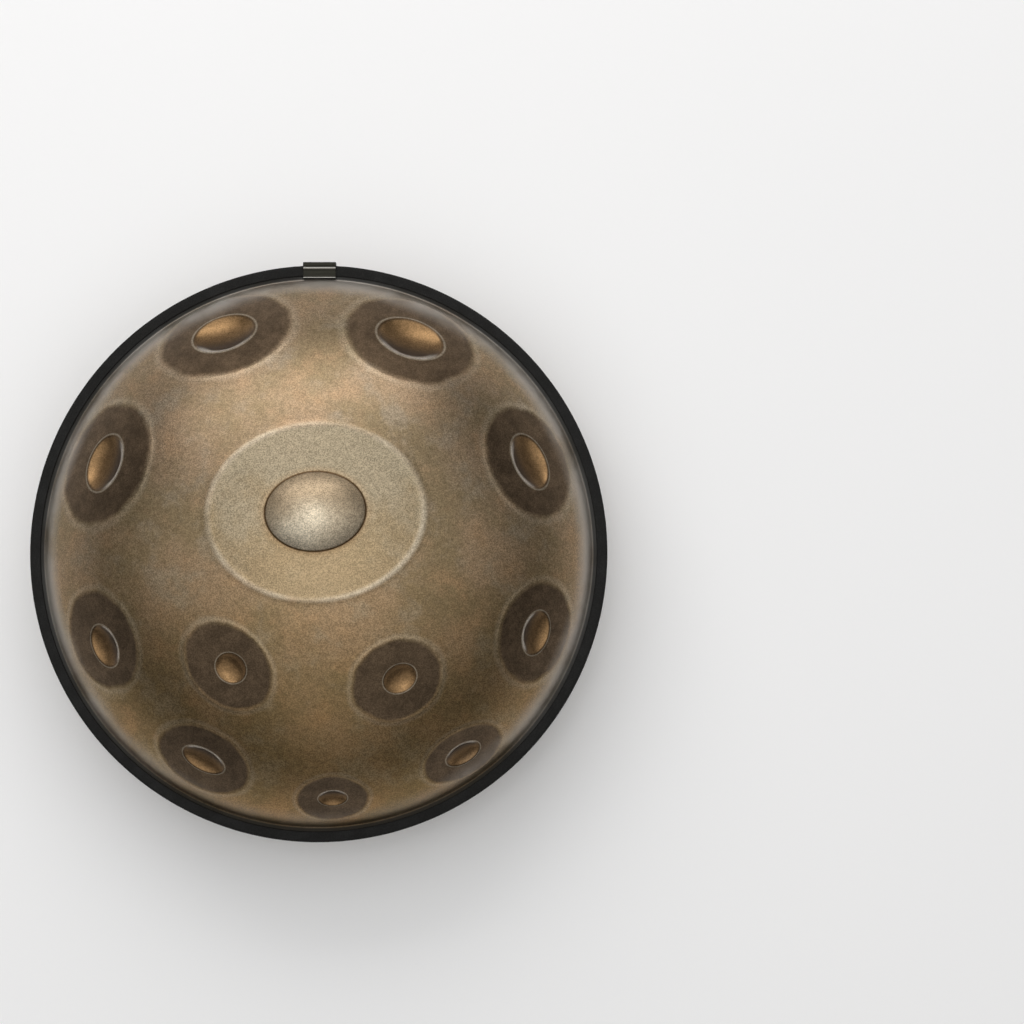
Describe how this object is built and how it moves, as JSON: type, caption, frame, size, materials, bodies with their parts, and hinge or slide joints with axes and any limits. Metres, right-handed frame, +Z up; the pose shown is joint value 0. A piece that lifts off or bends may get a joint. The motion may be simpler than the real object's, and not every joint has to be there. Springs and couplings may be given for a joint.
{
  "type": "handpan",
  "caption": "Steel handpan: two formed shells joined at a rubber-trimmed rim, raised centre tone, dimpled tone fields on top and a ringed port below.",
  "frame": {"origin": "on the axis of the rim, in the face of the port ring that the instrument rests on", "axes": "+Z up through the ding side, +Y towards the clip of the edge trim, and -Y towards the player"},
  "size_m": [0.56, 0.5629, 0.2421],
  "materials": {
    "top_shell": "satin heat-coloured bronze with darker smooth tone fields",
    "bottom_shell": "satin bronze with a fine peened grain",
    "rim_glue": "cured epoxy",
    "edge_trim": "matte black rubber with a fine grain",
    "trim_clip": "dark satin metal with bright edges",
    "port_ring": "glossy black moulding",
    "port_bond": "black sealant"
  },
  "bodies": {
    "root": {"top_shell": "top_shell", "bottom_shell": "bottom_shell", "rim_glue": "rim_glue", "edge_trim": "edge_trim", "trim_clip": "trim_clip", "port_ring": "port_ring", "port_bond": "port_bond"}
  },
  "joints": []
}
